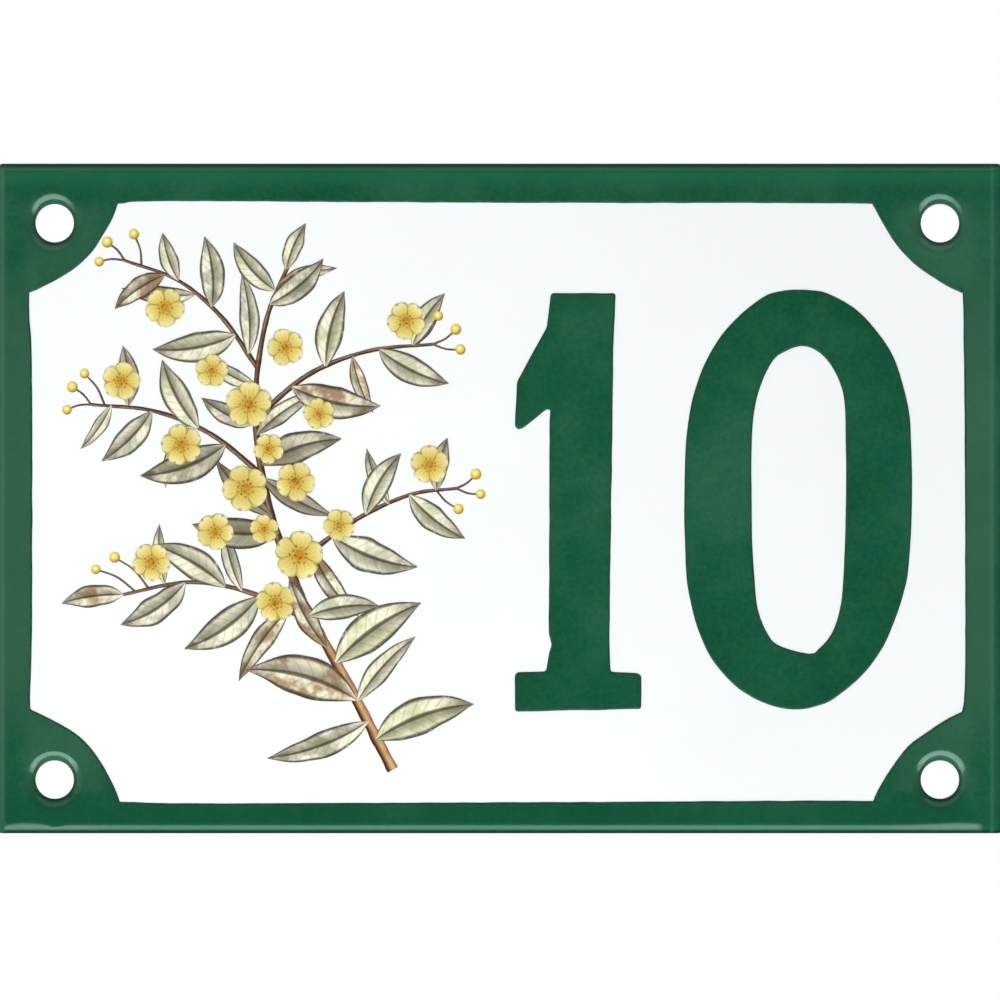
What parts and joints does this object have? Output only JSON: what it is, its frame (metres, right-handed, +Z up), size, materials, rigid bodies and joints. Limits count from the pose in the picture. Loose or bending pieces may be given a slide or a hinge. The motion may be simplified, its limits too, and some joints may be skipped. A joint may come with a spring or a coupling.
{
  "type": "house number plaque",
  "caption": "Oblong enamelled steel door number plate with a green border, scalloped white field, plain numerals and a painted flower spray, pierced for wall screws.",
  "frame": {"origin": "middle of the plate's outline, on the plane of the folded rim that rests on the wall", "axes": "+X to the right and +Z up as the plaque hangs, +Y into the wall, so the front faces -Y"},
  "size_m": [0.15, 0.004, 0.1],
  "materials": {
    "green_enamel": "gloss vitreous enamel on the border, the folded edges and the numerals",
    "white_enamel": "gloss vitreous enamel on the field",
    "ground_coat": "gloss dark ground coat of vitreous enamel on the back",
    "leaf_print": "fired ceramic colour under gloss, grey green",
    "flower_print": "fired ceramic colour under gloss, yellow",
    "stem_print": "fired ceramic colour under gloss, brown"
  },
  "bodies": {
    "root": {"plate": "green_enamel"}
  },
  "joints": []
}
